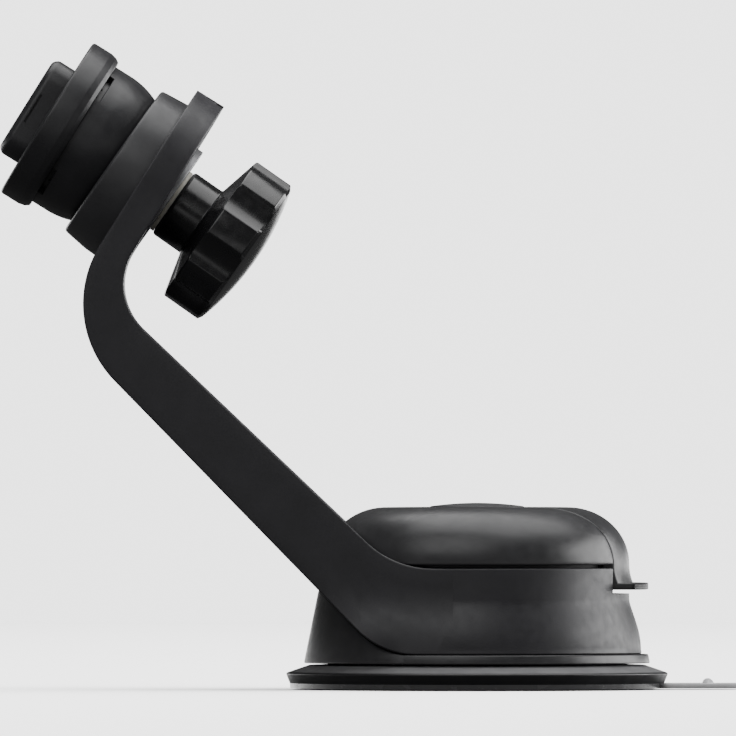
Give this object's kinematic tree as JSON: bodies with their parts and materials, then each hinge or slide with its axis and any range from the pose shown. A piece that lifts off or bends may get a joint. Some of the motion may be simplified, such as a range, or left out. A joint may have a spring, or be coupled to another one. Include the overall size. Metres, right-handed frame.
{
  "type": "car phone mount",
  "caption": "Windscreen phone mount: a twist-lock head on a clamped ball joint, a cranked arm and a lever-operated suction cup base.",
  "frame": {"origin": "centre of the suction face, on the cup's axis, in the plane of the surface it sticks to", "axes": "+Z away from the surface along the cup's axis; -X towards the phone head; Y across, symmetric"},
  "size_m": [0.167, 0.084, 0.1417],
  "materials": {
    "gel": "clear grey polyurethane gel, tacky and slightly cloudy",
    "cup_rubber": "smooth black thermoplastic rubber",
    "housing": "black ABS with a fine satin texture",
    "arm_nylon": "black glass-filled nylon, fine spark texture",
    "socket_nylon": "black glass-filled nylon, turned-looking satin",
    "ball_nylon": "black nylon, smooth satin",
    "head_nylon": "black glass-filled nylon, satin",
    "knob_gloss": "smooth semi-gloss black plastic",
    "soft_pad": "matt black soft-touch rubber",
    "grey_washer": "grey blasted steel",
    "steel": "turned zinc-plated steel",
    "dark_screw": "black-oxide steel",
    "spring_steel": "drawn spring wire",
    "zinc": "die-cast zinc, bead blasted",
    "brass": "machined brass",
    "low_friction": "waxy natural acetal"
  },
  "bodies": {
    "base": {"gel_pad": "gel", "suction_cup": "cup_rubber", "lower_housing": "housing", "cam_plate": "steel", "arm": "arm_nylon", "arm_cover": "arm_nylon", "cover_screws": "dark_screw", "dome_cover": "housing", "base_screws": "dark_screw", "socket": "socket_nylon", "socket_screws": "dark_screw", "clamp_bolt": "steel", "thrust_washer": "grey_washer", "stem_spring": "spring_steel"},
    "stem_slider": {"stem": "zinc", "lever_pin": "steel", "pin_clips": "spring_steel"},
    "lever": {"lever": "housing", "lever_pad": "soft_pad"},
    "pitch_ring": {"friction_ring": "low_friction"},
    "yaw_dome": {"clamp_dome": "steel"},
    "head": {"ball_shell": "ball_nylon", "cleat": "head_nylon", "cleat_screws": "dark_screw", "collar_spring": "spring_steel"},
    "collar": {"collar": "head_nylon"},
    "knob_carrier": {"knob_washer": "low_friction"},
    "knob": {"knob": "knob_gloss", "knob_insert": "brass", "knob_cap": "knob_gloss"}
  },
  "joints": [
    {"name": "stem_slide", "type": "slide", "parent": "base", "child": "stem_slider", "axis": [0, 0, -1], "range_m": [0, 0.003], "deforming": ["stem_spring", "suction_cup", "gel_pad"]},
    {"name": "lever_lift", "type": "hinge", "parent": "stem_slider", "child": "lever", "pos_m": [0, 0, 0.024], "axis": [0, -1, 0], "range_deg": [0, 60]},
    {"name": "ball_pitch", "type": "hinge", "parent": "base", "child": "pitch_ring", "pos_m": [-0.0854, 0, 0.1198], "axis": [0, 1, 0], "range_deg": [-10, 16]},
    {"name": "ball_yaw", "type": "hinge", "parent": "pitch_ring", "child": "yaw_dome", "pos_m": [-0.0854, 0, 0.1198], "axis": [0.5299, 0, 0.848], "range_deg": [-13, 13]},
    {"name": "head_swivel", "type": "hinge", "parent": "yaw_dome", "child": "head", "pos_m": [-0.0854, 0, 0.1198], "axis": [-0.848, 0, 0.5299], "continuous": true},
    {"name": "collar_slide", "type": "slide", "parent": "head", "child": "collar", "axis": [0.848, 0, -0.5299], "range_m": [0, 0.0025], "stiffness_N_per_m": 600, "springref_m": -0.002, "deforming": ["collar_spring"]},
    {"name": "knob_travel", "type": "slide", "parent": "base", "child": "knob_carrier", "axis": [0.8192, 0, -0.5736], "range_m": [0, 0.0015]},
    {"name": "knob_turn", "type": "hinge", "parent": "knob_carrier", "child": "knob", "pos_m": [-0.0854, 0, 0.1198], "axis": [0.8192, 0, -0.5736], "range_deg": [0, 540]}
  ],
  "couplings": [
    {"joint": "lever_lift", "follows": "stem_slide", "rad_per_m": 349.06},
    {"joint": "knob_turn", "follows": "knob_travel", "rad_per_m": 6283.2}
  ]
}
